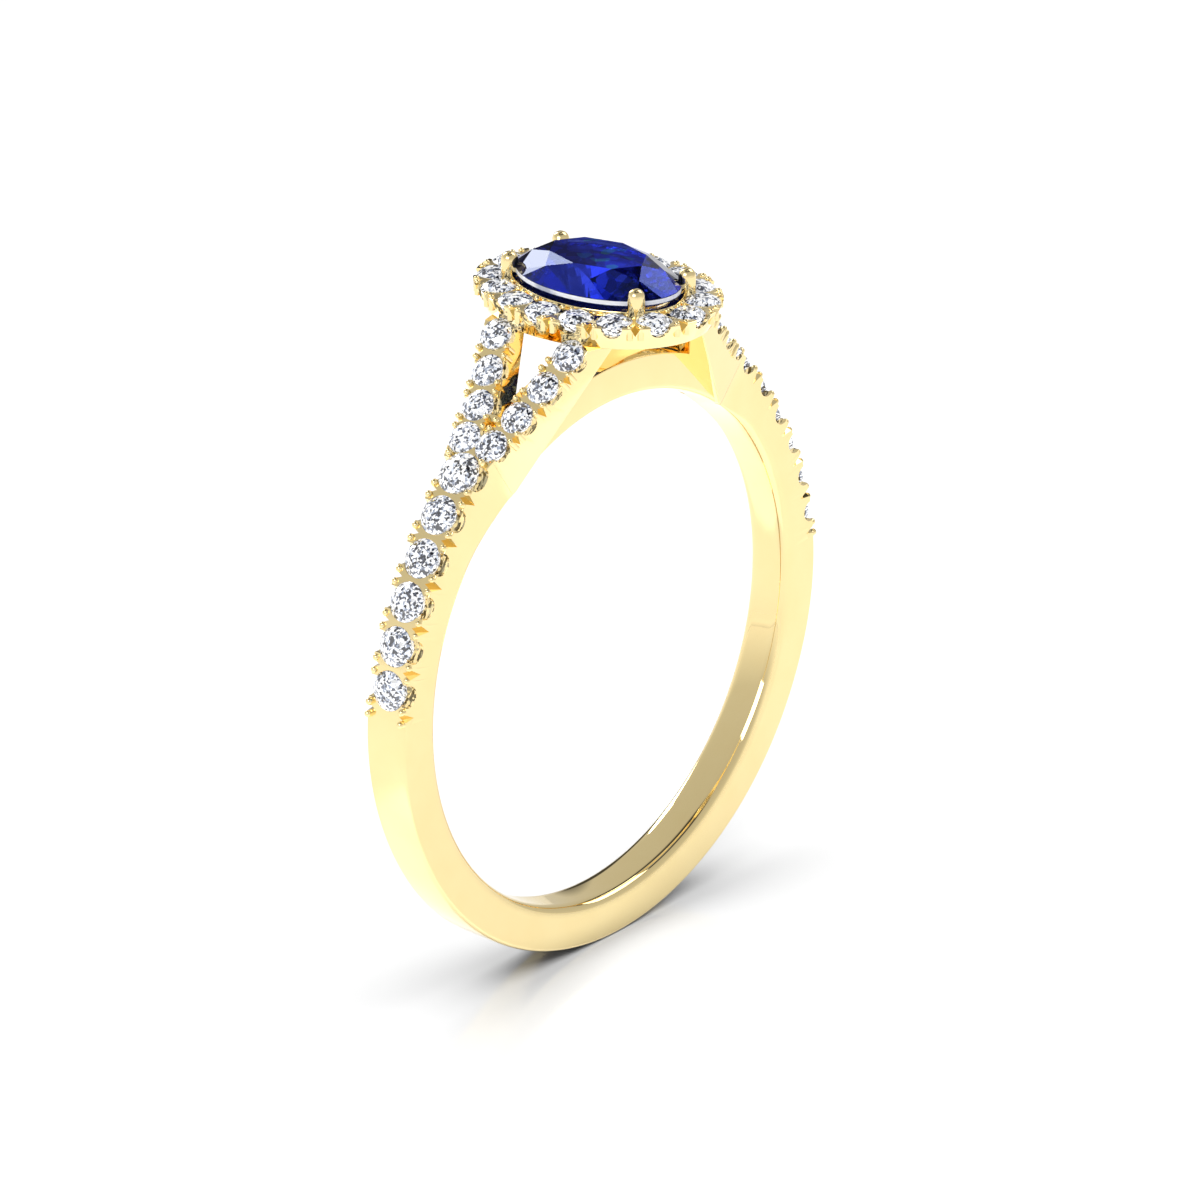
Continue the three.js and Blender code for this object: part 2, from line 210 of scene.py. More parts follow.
# ---------------------------------------------------------------- stones, read from the CAD
def facets(node):
    """The planes of a faceted CAD node, as rows of normal and offset, with their areas."""
    mesh = frame["nodes"][node].data
    mesh.calc_loop_triangles()
    groups = {}
    for triangle in mesh.loop_triangles:
        key = tuple(round(c, 2) + 0.0 for c in triangle.normal)
        total = groups.setdefault(key, [np.zeros(3), 0.0])
        total[0] += np.array(triangle.normal) * triangle.area
        total[1] += triangle.area
    points = points_of(node)
    planes = []
    for weighted, area in groups.values():
        normal = weighted / np.linalg.norm(weighted)
        planes.append((normal, (points @ normal).max(), area))
    return planes


def stone_place(node):
    """A small stone's centre on its girdle's foot, the way its table faces, and its radius."""
    axis = max(facets(node), key=lambda plane: plane[2])[0]
    points = points_of(node)
    culet = points[np.argmin(points @ axis)]
    height = (points - culet) @ axis
    away = np.linalg.norm(points - culet - height[:, None] * axis, axis=1)
    foot = height[away > 0.99 * away.max()].min()
    return {"at": culet + axis * foot, "out": axis, "radius": away.max()}


def row_of(start):
    """The places of a row of stones, each with the direction of the row."""
    row = [stone_place(node) for node in nodes_called(start)]
    looped = start.startswith("halo")
    for i, place in enumerate(row):
        after = row[(i + 1) % len(row)] if looped else row[min(i + 1, len(row) - 1)]
        before = row[i - 1] if looped else row[max(i - 1, 0)]
        place["along"] = after["at"] - before["at"]
    return row


def halfway(one, two):
    return {"at": (one["at"] + two["at"]) / 2, "out": one["out"] + two["out"], "along": two["at"] - one["at"]}


def half_beyond(one, two):
    """The place half a step past the second of two stones."""
    step = (two["at"] - one["at"]) / 2
    return {"at": two["at"] + step, "out": two["out"], "along": step}


def matrix_at(place, along=0.0, across=0.0, out=0.0):
    z = Vector(place["out"]).normalized()
    y = z.cross(Vector(place["along"])).normalized()
    x = y.cross(z)
    at = Vector(place["at"]) + x * along + y * across + z * out
    return Matrix.Translation(at) @ Matrix((x, y, z)).transposed().to_4x4()


# ---------------------------------------------------------------- settings of the small stones
NOTCH_SHARE = 0.57    # radius of the round notch under a stone, as a share of the stone's radius
PAVILION = {"depth": 1.12, "knee": 0.4, "upper_slope": 62.0}   # depths in stone radii, slope in degrees
SEAT_GAP = 0.012      # between a stone and its seat
POST_FOOT = -0.35     # where a prong starts, below the stones' girdles
LEAF_LIFT = 0.05      # height of a prong split's middle above them


def seat(place):
    radius = place["radius"] + SEAT_GAP
    knee = radius * (1 - PAVILION["knee"] / math.tan(math.radians(PAVILION["upper_slope"])))
    profile = [(0.02, -PAVILION["depth"] * radius), (knee, -PAVILION["knee"] * radius), (radius, -0.01),
               (radius, 1.5 * radius)]
    return lathe("seat", profile, matrix_at(place), 40)


def notch(place, start, end):
    radius = NOTCH_SHARE * place["radius"]
    turned = matrix_at(place) @ Matrix.Rotation(math.radians(-90), 4, "X")
    return lathe("notch", [(radius, start), (radius, end)], turned, 32)


def leaf(place, across, wide, deep, tall):
    """The pointed V that splits a prong in two: a slim bipyramid standing in the metal's side."""
    verts = [(wide, 0, 0), (0, deep, 0), (-wide, 0, 0), (0, -deep, 0), (0, 0, tall), (0, 0, -tall)]
    faces = [(i, (i + 1) % 4, 4) for i in range(4)] + [((i + 1) % 4, i, 5) for i in range(4)]
    built = to_object("leaf", verts, faces)
    built.data.transform(matrix_at(place, 0, across, LEAF_LIFT))
    return built


def bead(place, along, across, radius, top):
    """A prong: a small post with a domed tip."""
    profile = [(radius, POST_FOOT)]
    for degrees in (0, 20, 38, 54, 68, 80):
        turn = math.radians(degrees)
        profile.append((radius * math.cos(turn), top - radius + radius * math.sin(turn)))
    return lathe("bead", profile, matrix_at(place, along, across), 16)


# ---------------------------------------------------------------- band
def soft_max(a, b, blend=0.06):
    """The greater of two values, with a smooth change from one to the other."""
    return 0.5 * (a + b + math.sqrt((a - b) ** 2 + blend ** 2))


def smooth_step(value, start, end):
    t = min(max((value - start) / (end - start), 0), 1)
    return t * t * (3 - 2 * t)


def crest_y(x):
    return HALF_WIDTH + CREST["slope"] * (CREST["x"] - x)


def sole_y(x):
    return SOLE["y"] + SOLE["slope"] * (SOLE["x"] - x)


def sole_z(x):
    return SOLE["z"] + SOLE["rise"] * (SOLE["x"] - x)


shoulder_rows = {side: row_of(f"shoulder_stone_{side}") for side, _ in SIDES}
row_radii = [np.hypot(place["at"][0], place["at"][2]) for place in shoulder_rows["right"]]
row_angles = [math.degrees(math.atan2(place["at"][2], place["at"][0])) for place in shoulder_rows["right"]]
RISE = np.polyfit(row_angles[3:], row_radii[3:], 1)


def band_radius(angle):
    """Outer radius of the band at an angle above the horizontal, which rises near the split."""
    rising = np.polyval(RISE, angle)
    return float(max(HOOP, soft_max(HOOP, rising, 0.05)) if angle > RISES_FROM else HOOP)


def band_ring(turn):
    """The band's section at a turn about the finger hole. Both shoulders are alike."""
    angle = turn if turn > -90 else -180 - turn
    outer = band_radius(angle)
    heading = math.radians(turn)
    x_out = outer * math.cos(math.radians(angle))
    x_in = BORE * math.cos(math.radians(angle))
    wide, narrow = HALF_WIDTH, HALF_WIDTH
    if angle > WIDENS_FROM:
        wide = soft_max(HALF_WIDTH, crest_y(x_out))
        narrow = soft_max(HALF_WIDTH, sole_y(x_in))
    comfort = COMFORT_EDGE + (CRISP_EDGE - COMFORT_EDGE) * smooth_step(angle, CRISP_FROM, SPLIT_ANGLE)
    plain = smooth_step(-angle, 0, PLAIN_BELOW)
    edge = CRISP_EDGE + (SOFT_EDGE - CRISP_EDGE) * plain
    section = [(BORE, -narrow), (outer, -wide), (outer, wide), (BORE, narrow)]
    ring = rounded(section, [comfort, edge, edge, comfort], 7)
    return [(r * math.cos(heading), y, r * math.sin(heading)) for r, y in ring]


def pave_metal(metal, row, ends, beads, leaves, notch_span):
    """Adds the shared prongs of a row, then cuts its seats, notches and prong splits."""
    gaps = [halfway(one, two) for one, two in zip(row, row[1:])] + ends
    for offset in (-1, 1):
        for across in beads["across"]:
            posts = [bead(gap, offset * beads["spread"], across, beads["radius"], beads["top"])
                     for gap in gaps]
            combine(metal, "UNION", posts)
    combine(metal, "DIFFERENCE", [seat(place) for place in row])
    combine(metal, "DIFFERENCE", [notch(place, *notch_span) for place in row])
    for across in leaves["across"]:
        combine(metal, "DIFFERENCE", [leaf(gap, across, *leaves["size"]) for gap in gaps])
    return metal


ROW_BEADS = {"spread": 0.2, "across": (-0.68, 0.68), "radius": 0.12, "top": 0.17}
ROW_LEAVES = {"across": (-0.8, 0.8), "size": (0.16, 0.34, 0.46)}
ARM_BEADS = {"spread": 0.16, "across": (-0.52, 0.52), "radius": 0.105, "top": 0.15}
ARM_LEAVES = {"across": (-0.62, 0.62), "size": (0.13, 0.28, 0.42)}
HALO_BEADS = {"spread": 0.17, "across": (-0.62, 0.5), "radius": 0.1, "top": 0.15}
HALO_LEAVES = {"across": (-0.74,), "size": (0.15, 0.34, 0.46)}

arm_rows = {}
for side, _ in SIDES:
    for face, _ in FACES:
        arm_rows[side, face] = row_of(f"arm_stone_{side}_{face}")


def make_band():
    turns = np.linspace(-180 - SPLIT_ANGLE, SPLIT_ANGLE, BAND_STEPS)
    band = loft("band", [band_ring(turn) for turn in turns])
    for side, _ in SIDES:
        row = shoulder_rows[side]
        ends = [half_beyond(row[1], row[0]), half_beyond(row[-2], row[-1])]
        pave_metal(band, row, ends, ROW_BEADS, ROW_LEAVES, (-2, 2))
        for face, _ in FACES:
            combine(band, "DIFFERENCE", [seat(arm_rows[side, face][0])])
    return band


def make_bridge():
    rings = []
    for turn in np.linspace(SPLIT_ANGLE, 180 - SPLIT_ANGLE, BRIDGE_STEPS):
        section = [(BORE, -HALF_WIDTH), (BRIDGE, -HALF_WIDTH), (BRIDGE, HALF_WIDTH), (BORE, HALF_WIDTH)]
        ring = rounded(section, [BRIDGE_EDGE, CRISP_EDGE, CRISP_EDGE, BRIDGE_EDGE], 7)
        heading = math.radians(turn)
        rings.append([(r * math.cos(heading), y, r * math.sin(heading)) for r, y in ring])
    return loft("bridge", rings)


halo_row = row_of("halo_stone")
HALO_FOOT = corners("halo_plate")[0][2]
HALO_RIM = halo_row[0]["at"][2] + 0.07         # just above the foot of the stones' girdles
HALO_OUTER = corners("halo_plate")[1][:2]


def arm_path(row):
    """How high an arm's top runs at each distance from the middle, through its stones."""
    start = band_radius(SPLIT_ANGLE) * np.array([math.cos(math.radians(SPLIT_ANGLE)),
                                                 math.sin(math.radians(SPLIT_ANGLE))])
    xs = [start[0]] + [abs(place["at"][0]) for place in row]
    zs = [start[1]] + [place["at"][2] for place in row]
    return start[0], np.poly1d(np.polyfit(xs, zs, 2))


def make_arm(side_name, side, face_name, face):
    row = arm_rows[side_name, face_name]
    start_x, top_z = arm_path(row)
    foot = HALO_FOOT + ARM_OVERLAP
    tips = [root.real for root in (top_z - foot).roots]
    tip_x = min(tips) if min(tips) > NEAREST_TIP else max(tips)
    sole_start = BORE * math.cos(math.radians(SPLIT_ANGLE))
    sole_end = SOLE["x"] - (foot - SOLE["z"]) / SOLE["rise"]
    rings = []
    for t in np.linspace(0, 1, ARM_STEPS):
        x_top = start_x + (tip_x - start_x) * t
        x_low = sole_start + (sole_end - sole_start) * t
        z_low = max(sole_z(x_low), math.sqrt(BORE ** 2 - x_low ** 2) + 0.01)
        inner_top = max(0.0, CROTCH["slope"] * (CROTCH["crest_x"] - x_top))
        inner_low = max(0.0, CROTCH["slope"] * (CROTCH["sole_x"] - x_low))
        section = [
            (side * x_low, face * soft_max(HALF_WIDTH, sole_y(x_low)), z_low),
            (side * x_top, face * soft_max(HALF_WIDTH, crest_y(x_top)), float(top_z(x_top))),
            (side * x_top, face * inner_top, float(top_z(x_top))),
            (side * x_low, face * inner_low, z_low),
        ]
        radii = [CRISP_EDGE, CRISP_EDGE, min(CRISP_EDGE, inner_top), min(CRISP_EDGE, inner_low)]
        rings.append(rounded(section, radii, 5))
    arm = loft("arm", rings)
    pave_metal(arm, row, [], ARM_BEADS, ARM_LEAVES, (-1.2, 1.2))
    return combine(arm, "DIFFERENCE", [seat(shoulder_rows[side_name][-1])])


# ---------------------------------------------------------------- head
def oval_loft(name, section_at):
    """A closed oval band. section_at gives the section's corners as (half-axis a, half-axis b, height)."""
    rings = []
    for turn in np.linspace(0, 2 * math.pi, OVAL_STEPS, endpoint=False):
        corners3 = [(a * math.cos(turn), b * math.sin(turn), z) for a, b, z in section_at]
        rings.append(rounded(corners3, [CRISP_EDGE] * len(corners3), 4))
    return loft(name, rings, closed=True)


def make_halo():
    a, b = HALO_OUTER
    halo = oval_loft("halo", [
        (*HALO_INNER, HALO_FOOT), (a * HALO_TAPER, b * HALO_TAPER, HALO_FOOT),
        (a, b, HALO_RIM), (*HALO_INNER, HALO_RIM)])
    closing = halfway(halo_row[-1], halo_row[0])
    pave_metal(halo, halo_row, [closing], HALO_BEADS, HALO_LEAVES, (-1.4, 0))
    tucked = [arm_rows[key][-1] for key in arm_rows]
    return combine(halo, "DIFFERENCE", [seat(place) for place in tucked])


def make_rail():
    low, high = corners("seat_rail")
    a, b = high[:2]
    return oval_loft("rail", [
        (a - RAIL_WIDTH, b - RAIL_WIDTH, low[2]), (a, b, low[2]),
        (a, b, high[2]), (a - RAIL_WIDTH, b - RAIL_WIDTH, high[2] - 0.1)])


def make_claw(node):
    low, high = corners(node)
    profile = [(CLAW_RADIUS * 0.9, low[2]), (CLAW_RADIUS, high[2] - 0.9)]
    for degrees in (0, 15, 30, 45, 60, 72, 83):
        turn = math.radians(degrees)
        profile.append((CLAW_RADIUS * math.cos(turn), high[2] - CLAW_RADIUS * (1 - math.sin(turn))))
    middle = (low + high) / 2
    return lathe("claw", profile, Matrix.Translation((middle[0], middle[1], 0)), 32)


# ---------------------------------------------------------------- stones
def pavilion_of(place, x, z):
    """The planes of a small stone's pavilion: sixteen steep facets under the girdle, then eight mains."""
    radius, at = place["radius"], Vector(place["at"])
    steep = math.radians(PAVILION["upper_slope"])
    knee_radius = 1 - PAVILION["knee"] / math.tan(steep)
    flat = math.atan((PAVILION["depth"] - PAVILION["knee"]) / knee_radius)
    planes = []
    for count, slope, depth in ((16, steep, math.tan(steep)), (8, flat, PAVILION["depth"])):
        for i in range(count):
            turn = 2 * math.pi * (i + 0.5) / count
            side = x * math.cos(turn) + z.cross(x) * math.sin(turn)
            normal = side * math.sin(slope) - z * math.cos(slope)
            planes.append((np.array(normal), normal.dot(at - z * depth * radius)))
    return planes


def cut_stone(node, place, axes, sides):
    """Grinds a smooth drum to a stone's own CAD facets, which leaves a round girdle between them."""
    z = Vector(place["out"]).normalized()
    x = Vector((0, 1, 0)) if abs(z.y) < 0.9 else Vector((1, 0, 0))
    x = (x - z * x.dot(z)).normalized()
    if axes[0] != axes[1]:
        x = Vector((1, 0, 0))
    frame_of = Matrix((x, z.cross(x), z)).transposed().to_4x4()
    turns = np.linspace(0, 2 * math.pi, sides, endpoint=False)
    rings = [[(axes[0] * math.cos(t), axes[1] * math.sin(t), h) for t in turns] for h in (-9, 9)]
    drum = loft("drum", rings)
    drum.data.transform(Matrix.Translation(Vector(place["at"])) @ frame_of)
    work = bmesh.new()
    work.from_mesh(drum.data)
    planes = [(normal, offset) for normal, offset, _ in facets(node) if abs(Vector(normal).dot(z)) > 0.2]
    if axes[0] == axes[1]:
        planes = [plane for plane in planes if Vector(plane[0]).dot(z) > 0.2]
        planes += pavilion_of(place, x, z)
    for normal, offset in planes:
        whole = work.verts[:] + work.edges[:] + work.faces[:]
        cut = bmesh.ops.bisect_plane(work, geom=whole, plane_co=normal * offset, plane_no=normal,
                                     clear_outer=True, dist=1e-5)
        rim = [item for item in cut["geom_cut"] if isinstance(item, bmesh.types.BMEdge)]
        bmesh.ops.contextual_create(work, geom=rim)
    bmesh.ops.recalc_face_normals(work, faces=work.faces)
    # Marks the downward facets, on which the diamond material paints extra light.
    under = work.faces.layers.float.new("under")
    for face in work.faces:
        face[under] = 1.0 if face.normal.dot(z) < -0.1 else 0.0
    work.to_mesh(drum.data)
    work.free()
    return drum


# ---------------------------------------------------------------- materials
FINE_CELL, BROAD_CELL, SAPPHIRE_CELL = 0.00008, 0.00016, 0.00035      # sizes of the painted reflections, in metres
FINE_SHARE, BROAD_SHARE = 0.7, 0.4         # how much each adds to a diamond's painted reflections
DIAMOND_PAINTED_LIGHT, PAVILION_PAINTED_LIGHT = 0.25, 0.45      # painted light emitted by every diamond, and the extra painted light on its pavilion
DIAMOND_INDEX = 2.417                      # index of refraction
# painted light: the sapphire's colour is also emitted at this strength
SAPPHIRE_PAINTED_LIGHT = 0.14
SAPPHIRE_INDEX, CROWN_DROP, TABLE_DROP = 1.77, 0.22, 0.46   # the index, and its drop on crown and table
TABLE_LEVEL = 0.97                         # a facet whose normal rises more than this is the table
SIDE_SLOPE = 0.1                           # a facet whose normal rises less than this stands upright
GIRDLE_HIGHLIGHT = 0.00007                     # half the height of the painted highlight band along the girdle's middle, in metres


def material(name):
    made = bpy.data.materials.new(name)
    made.use_nodes = True
    nodes = made.node_tree.nodes
    return made, nodes, made.node_tree.links, nodes["Principled BSDF"]


def add(nodes, kind, **values):
    made = nodes.new(kind)
    for key, value in values.items():
        if key in made.inputs:
            made.inputs[key].default_value = value
        else:
            setattr(made, key, value)
    return made


def ramp_of(nodes, links, value, stops, blend="LINEAR"):
    """A colour ramp over a value, from (position, colour) stops. It gives the ramp's output."""
    ramp = add(nodes, "ShaderNodeValToRGB")
    ramp.color_ramp.interpolation = blend
    elements = ramp.color_ramp.elements
    while len(elements) < len(stops):
        elements.new(1.0)
    for element, (position, colour) in zip(elements, stops):
        element.position = position
        element.color = (*colour, 1)
    links.new(value, ramp.inputs["Fac"])
    return ramp.outputs["Color"]


def gold(name, tint, roughness):
    """Polished gold: faint polishing haze, fine hairlines and a slight drift of colour."""
    made, nodes, links, shader = material(name)
    place = add(nodes, "ShaderNodeTexCoord")
    cloud = add(nodes, "ShaderNodeTexNoise", Scale=900.0, Detail=4.0)
    links.new(place.outputs["Object"], cloud.inputs["Vector"])
    shade = add(nodes, "ShaderNodeMapRange")
    shade.inputs["To Min"].default_value = roughness * 0.5
    shade.inputs["To Max"].default_value = roughness * 1.5
    links.new(cloud.outputs["Fac"], shade.inputs["Value"])
    links.new(shade.outputs["Result"], shader.inputs["Roughness"])
    deep = tuple(c * f for c, f in zip(tint, (0.985, 0.97, 0.94)))
    drift = ramp_of(nodes, links, cloud.outputs["Fac"], [(0.3, deep), (0.7, tint)])
    links.new(drift, shader.inputs["Base Color"])
    hair = add(nodes, "ShaderNodeTexNoise", Scale=9000.0, Detail=2.0)
    stretch = add(nodes, "ShaderNodeMapping")
    stretch.inputs["Scale"].default_value = (1.0, 0.12, 1.0)
    links.new(place.outputs["Object"], stretch.inputs["Vector"])
    links.new(stretch.outputs["Vector"], hair.inputs["Vector"])
    bump = add(nodes, "ShaderNodeBump", Strength=0.02, Distance=0.00001)
    links.new(hair.outputs["Fac"], bump.inputs["Height"])
    links.new(bump.outputs["Normal"], shader.inputs["Normal"])
    shader.inputs["Metallic"].default_value = 1.0
    return made


def painted_reflection_cells(nodes, links, size, seed):
    """Small flat cells of painted reflection that break at every facet edge, as the reflections inside a cut
    stone do.
    """
    place = add(nodes, "ShaderNodeTexCoord")
    facet = add(nodes, "ShaderNodeNewGeometry")
    shift = add(nodes, "ShaderNodeVectorMath", operation="MULTIPLY_ADD")
    links.new(facet.outputs["True Normal"], shift.inputs[0])
    shift.inputs[1].default_value = (seed * 0.01, seed * 0.013, seed * 0.017)
    links.new(place.outputs["Object"], shift.inputs[2])
    cells = add(nodes, "ShaderNodeTexVoronoi", Scale=1 / size)
    links.new(shift.outputs["Vector"], cells.inputs["Vector"])
    split = add(nodes, "ShaderNodeSeparateColor")
    links.new(cells.outputs["Color"], split.inputs["Color"])
    return split.outputs["Red"]


def math_node(nodes, links, operation, *values):
    """A Math node. Each value is a number or another node's output."""
    made = add(nodes, "ShaderNodeMath", operation=operation)
    for i, value in enumerate(values):
        if isinstance(value, (int, float)):
            made.inputs[i].default_value = value
        else:
            links.new(value, made.inputs[i])
    return made.outputs["Value"]


def diamond(name):
    """White stone: a painted mosaic of light and dark reflections, and emitted painted light that is stronger
    underneath.
    """
    made, nodes, links, shader = material(name)
    fine = painted_reflection_cells(nodes, links, FINE_CELL, 3.0)
    broad = math_node(nodes, links, "MULTIPLY", painted_reflection_cells(nodes, links, BROAD_CELL, 5.0), BROAD_SHARE)
    value = math_node(nodes, links, "MULTIPLY_ADD", fine, FINE_SHARE, broad)
    # Painted reflections: the cells are coloured from near black to white.
    stops = [(0.0, (0.004, 0.005, 0.01)), (0.38, (0.06, 0.07, 0.11)), (0.46, (0.25, 0.29, 0.38)),
             (0.54, (0.65, 0.7, 0.8)), (0.62, (1.0, 1.0, 1.0))]
    colour = ramp_of(nodes, links, value, stops, "CONSTANT")
    links.new(colour, shader.inputs["Base Color"])
    # Painted light: the painted colour is also emitted, more on the pavilion, which sits in shade in its
    # notch.
    links.new(colour, shader.inputs["Emission Color"])
    under = add(nodes, "ShaderNodeAttribute", attribute_name="under")
    painted_light = math_node(nodes, links, "MULTIPLY_ADD", under.outputs["Fac"], PAVILION_PAINTED_LIGHT, DIAMOND_PAINTED_LIGHT)
    links.new(painted_light, shader.inputs["Emission Strength"])
    shader.inputs["Transmission Weight"].default_value = 0.2
    shader.inputs["Roughness"].default_value = 0.02
    shader.inputs["IOR"].default_value = DIAMOND_INDEX
    return made


def mixed(nodes, links, factor, one, two):
    """Two colours mixed by a factor. Each colour is a tuple or another node's output."""
    mix = add(nodes, "ShaderNodeMix", data_type="RGBA")
    links.new(factor, mix.inputs["Factor"])
    for socket, value in (("A", one), ("B", two)):
        if isinstance(value, tuple):
            mix.inputs[socket].default_value = (*value, 1)
        else:
            links.new(value, mix.inputs[socket])
    return mix.outputs["Result"]


def sapphire(name, girdle_middle):
    """Blue corundum with painted reflections: facets that face about along the two axes are painted brighter
    than those between them, the table has painted teal streaks, the underside painted shade, and the girdle a
    painted highlight band."""
    made, nodes, links, shader = material(name)
    facet = add(nodes, "ShaderNodeNewGeometry")
    split = add(nodes, "ShaderNodeSeparateXYZ")
    links.new(facet.outputs["True Normal"], split.inputs["Vector"])
    turn = math_node(nodes, links, "ARCTAN2", split.outputs["Y"], split.outputs["X"])
    # Painted reflections: facets that face about along the two axes are painted brighter, with painted
    # glints.
    painted_facet_light = math_node(nodes, links, "COSINE", math_node(nodes, links, "MULTIPLY_ADD", turn, 4.0, -0.4))
    painted_facet_light = math_node(nodes, links, "MULTIPLY_ADD", painted_facet_light, 0.5, 0.5)
    painted_glints = painted_reflection_cells(nodes, links, SAPPHIRE_CELL, 7.0)
    value = math_node(nodes, links, "MULTIPLY_ADD", painted_glints, 0.3, painted_facet_light)
    body = ramp_of(nodes, links, value, [(0.25, (0.0, 0.0, 0.002)), (0.5, (0.001, 0.002, 0.04)),
                                         (0.8, (0.007, 0.018, 0.35)), (1.0, (0.018, 0.04, 0.85))])
    # Painted reflections: the table is painted with teal streaks.
    level = math_node(nodes, links, "GREATER_THAN", split.outputs["Z"], TABLE_LEVEL)
    painted_table_streaks = ramp_of(nodes, links, painted_glints, [(0.0, (0.003, 0.012, 0.32)), (0.6, (0.01, 0.025, 0.6)),
                                             (0.85, (0.012, 0.03, 0.7)), (0.97, (0.01, 0.16, 0.4))])
    body = mixed(nodes, links, level, body, painted_table_streaks)
    # Painted shade: the underside facets are painted almost black.
    under = math_node(nodes, links, "LESS_THAN", split.outputs["Z"], -SIDE_SLOPE)
    body = mixed(nodes, links, under, body, (0.001, 0.002, 0.03))
    upright = math_node(nodes, links, "COMPARE", split.outputs["Z"], 0.0, SIDE_SLOPE)
    place = add(nodes, "ShaderNodeTexCoord")
    height = add(nodes, "ShaderNodeSeparateXYZ")
    links.new(place.outputs["Object"], height.inputs["Vector"])
    # Painted highlight: a pale band with a cloudy grain along the girdle's middle, dark blue above and below
    # it.
    inside = math_node(nodes, links, "COMPARE", height.outputs["Z"], girdle_middle, GIRDLE_HIGHLIGHT)
    cloud = add(nodes, "ShaderNodeTexNoise", Scale=450.0, Detail=2.0)
    links.new(place.outputs["Object"], cloud.inputs["Vector"])
    highlight_stops = [(0.38, (0.5, 0.52, 0.58)), (0.46, (1.0, 1.0, 1.0))]
    girdle_highlight = ramp_of(nodes, links, cloud.outputs["Fac"], highlight_stops)
    rim = mixed(nodes, links, inside, (0.01, 0.012, 0.06), girdle_highlight)
    colour = mixed(nodes, links, upright, body, rim)
    links.new(colour, shader.inputs["Base Color"])
    # Painted light: the colour is also emitted.
    links.new(colour, shader.inputs["Emission Color"])
    shader.inputs["Emission Strength"].default_value = SAPPHIRE_PAINTED_LIGHT
    shader.inputs["Specular Tint"].default_value = (0.25, 0.42, 1.0, 1)
    clear = math_node(nodes, links, "MULTIPLY_ADD", upright, -0.9, 1.0)
    links.new(clear, shader.inputs["Transmission Weight"])
    shader.inputs["Roughness"].default_value = 0.0
    crown = math_node(nodes, links, "GREATER_THAN", split.outputs["Z"], SIDE_SLOPE)
    bend = math_node(nodes, links, "MULTIPLY_ADD", crown, -CROWN_DROP, SAPPHIRE_INDEX)
    bend = math_node(nodes, links, "MULTIPLY_ADD", level, -TABLE_DROP, bend)
    links.new(bend, shader.inputs["IOR"])
    return made


GOLD = gold("polished_gold", (0.96, 0.78, 0.405), 0.05)
girdle = points_of("centre_stone")
girdle = girdle[np.abs(girdle[:, 0]) > 0.99 * girdle[:, 0].max()]
SAPPHIRE = sapphire("blue_sapphire", girdle[:, 2].mean() * MM)
DIAMOND = diamond("white_diamond")


# ---------------------------------------------------------------- fine pieces in place of the CAD parts
def hand_in(built, node, finish, smooth=True):
    built.name = f"{node}_fine"
    built.data.name = built.name
    built.data.transform(Matrix.Scale(MM, 4))
    built.data.materials.clear()
    built.data.materials.append(finish)
    if smooth:
        built.data.shade_smooth()
        built.data.set_sharp_from_angle(angle=math.radians(SHARP_ANGLE))
        step = built.modifiers.new("normals", "WEIGHTED_NORMAL")
        step.keep_sharp = True
        applied(built)
    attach(built, "root")
    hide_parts(node)


hand_in(make_band(), "shank", GOLD)
hand_in(make_bridge(), "bridge", GOLD)
for side_name, side in SIDES:
    for face_name, face in FACES:
        arm = make_arm(side_name, side, face_name, face)
        hand_in(arm, f"arm_{side_name}_{face_name}", GOLD)
hand_in(make_halo(), "halo_plate", GOLD)
hand_in(make_rail(), "seat_rail", GOLD)
for node in nodes_called("claw"):
    hand_in(make_claw(node), node, GOLD)

centre_low, centre_high = corners("centre_stone")
centre = {"at": np.array([0, 0, centre_low[2]]), "out": np.array([0, 0, 1])}
centre_stone = cut_stone("centre_stone", centre, centre_high[:2], CENTRE_SIDES)
hand_in(centre_stone, "centre_stone", SAPPHIRE, False)
for node in nodes_called("halo_stone") + nodes_called("shoulder_stone") + nodes_called("arm_stone"):
    place = stone_place(node)
    stone = cut_stone(node, place, (place["radius"], place["radius"]), SMALL_SIDES)
    hand_in(stone, node, DIAMOND, False)

# ---------------------------------------------------------------- stage, light and camera
VIEW = {"azimuth": -49.494, "elevation": 23.318, "distance": 197.13, "width": 11.238}
AIM = {"right": 0.0613, "up": 1.4206}      # from the ring's origin to the middle of the picture, in mm

FLOOR_REACH = 3.0                          # in metres

floor_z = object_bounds()[0][2]
floor_mesh = bpy.data.meshes.new("floor")
floor_corners = [(x * FLOOR_REACH, y * FLOOR_REACH, floor_z) for x, y in ((-1, -1), (1, -1), (1, 1), (-1, 1))]
floor_mesh.from_pydata(floor_corners, [], [(0, 1, 2, 3)])
floor = new_object("floor", floor_mesh)
floor_look, nodes, links, shader = material("white_floor")
shader.inputs["Base Color"].default_value = (0.5, 0.5, 0.5, 1)
shader.inputs["Roughness"].default_value = 0.12
shader.inputs["Specular IOR Level"].default_value = 0.9
floor.data.materials.append(floor_look)


def direction(azimuth, elevation):
    """The way towards a point at an azimuth and elevation, in degrees. Azimuth 0 is -Y and 90 is +X."""
    a, e = math.radians(azimuth), math.radians(elevation)
    return Vector((math.sin(a) * math.cos(e), -math.cos(a) * math.cos(e), math.sin(e)))


world = bpy.data.worlds.new("studio")
world.use_nodes = True
sky_nodes, sky_links = world.node_tree.nodes, world.node_tree.links
sky_place = add(sky_nodes, "ShaderNodeTexCoord")
sky_split = add(sky_nodes, "ShaderNodeSeparateXYZ")
sky_links.new(sky_place.outputs["Generated"], sky_split.inputs["Vector"])
# The sky has a dark ring near its top, which reaches lower towards +X, and a dark spot behind the object.
SKY = [(0.0, 1.05), (0.36, 0.65), (0.91, 0.55), (0.95, 0.05), (0.98, 0.05), (1.0, 0.5)]
RIGHT_SHARE = 0.6                          # how much lower the dark ring reaches there
FLAG = {"azimuth": 145, "elevation": 11, "edge": (0.95, 0.97), "dimmed": 0.1}

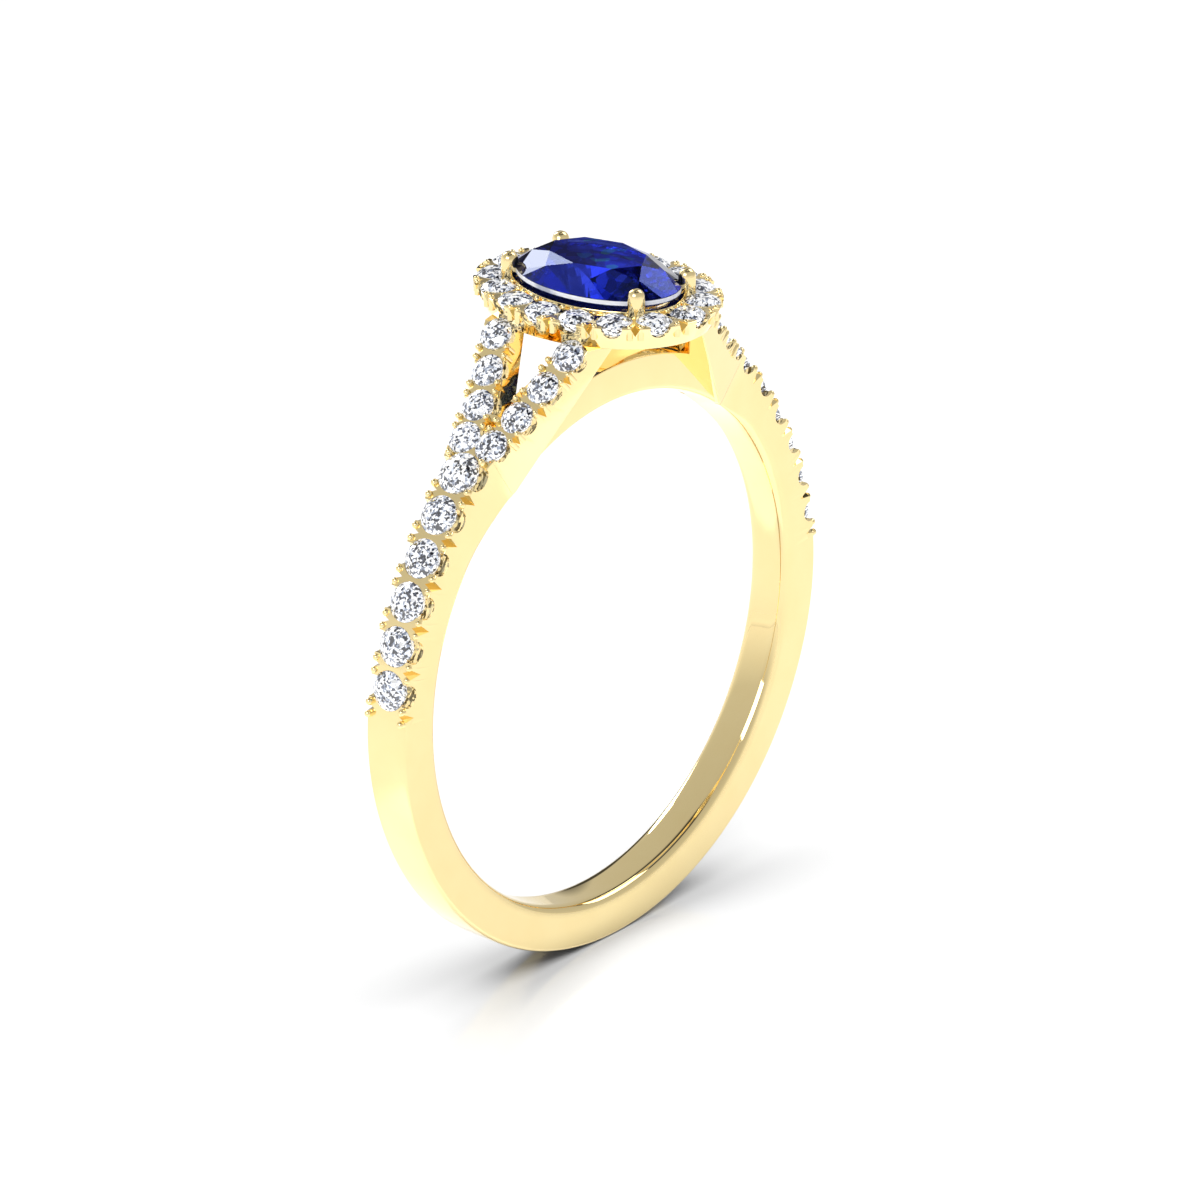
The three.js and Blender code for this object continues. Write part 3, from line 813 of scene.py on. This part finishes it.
to_right = math_node(sky_nodes, sky_links, "MAXIMUM", sky_split.outputs["X"], 0.0)
to_right = math_node(sky_nodes, sky_links, "POWER", to_right, 2.0)
height = math_node(sky_nodes, sky_links, "MULTIPLY_ADD", to_right, RIGHT_SHARE, sky_split.outputs["Z"])
sky = ramp_of(sky_nodes, sky_links, height, [(z, (level, level, level)) for z, level in SKY])
sky_links.new(sky, sky_nodes["Background"].inputs["Color"])
flag = add(sky_nodes, "ShaderNodeVectorMath", operation="DOT_PRODUCT")
sky_links.new(sky_place.outputs["Generated"], flag.inputs[0])
flag.inputs[1].default_value = direction(FLAG["azimuth"], FLAG["elevation"])
edge = [(FLAG["edge"][0], (1, 1, 1)), (FLAG["edge"][1], (FLAG["dimmed"],) * 3)]
shade = ramp_of(sky_nodes, sky_links, flag.outputs["Value"], edge)
sky_links.new(shade, sky_nodes["Background"].inputs["Strength"])
bpy.context.scene.world = world


lit_floor = bpy.data.collections.new("lit_floor")
lit_floor.objects.link(floor)
lit_ring = bpy.data.collections.new("lit_ring")
for piece in bpy.data.objects:
    if piece.name.endswith("_fine"):
        lit_ring.objects.link(piece)


def softbox(name, azimuth, elevation, width, height, radiance, distance=0.8):
    """A rectangular area light that looks at the ring. Its width and height are angles seen from there."""
    lamp = bpy.data.lights.new(name, "AREA")
    lamp.shape = "RECTANGLE"
    lamp.size = 2 * distance * math.tan(math.radians(width) / 2)
    lamp.size_y = 2 * distance * math.tan(math.radians(height) / 2)
    lamp.energy = radiance * math.pi * lamp.size * lamp.size_y
    built = new_object(name, lamp)
    way = direction(azimuth, elevation)
    built.location = way * distance
    built.rotation_euler = way.to_track_quat("Z", "Y").to_euler()
    return built


# Three lamps light only the ring. The overhead one lights only the floor.
LAMPS = {
    "key": (-86, 35, 34, 24, 4.0),
    "tall_back": (167, 27, 13, 30, 7.0),
    "right_side": (80, 46, 30, 30, 2.4),
}
for name, settings in LAMPS.items():
    softbox(name, *settings).light_linking.receiver_collection = lit_ring
overhead = softbox("overhead", 0, 89.9, 90, 90, 3.9)
overhead.light_linking.receiver_collection = lit_floor

scene = bpy.context.scene
scene.cycles.caustics_reflective = False
scene.cycles.caustics_refractive = False
scene.cycles.max_bounces = 20
scene.cycles.glossy_bounces = 14
scene.cycles.transmission_bounces = 16
scene.view_settings.view_transform = "Standard"
lens = bpy.data.cameras.new("camera")
camera = new_object("camera", lens)
az, el = math.radians(VIEW["azimuth"]), math.radians(VIEW["elevation"])
right = Vector((math.cos(az), math.sin(az), 0))
back = Vector((math.sin(az) * math.cos(el), -math.cos(az) * math.cos(el), math.sin(el)))
up = back.cross(right)
target = (right * AIM["right"] + up * AIM["up"]) * MM
camera.location = target + back * VIEW["distance"] * MM
camera.rotation_euler = Matrix((right, up, back)).transposed().to_euler()
lens.angle = math.radians(VIEW["width"])
lens.clip_start = 0.001
scene.camera = camera
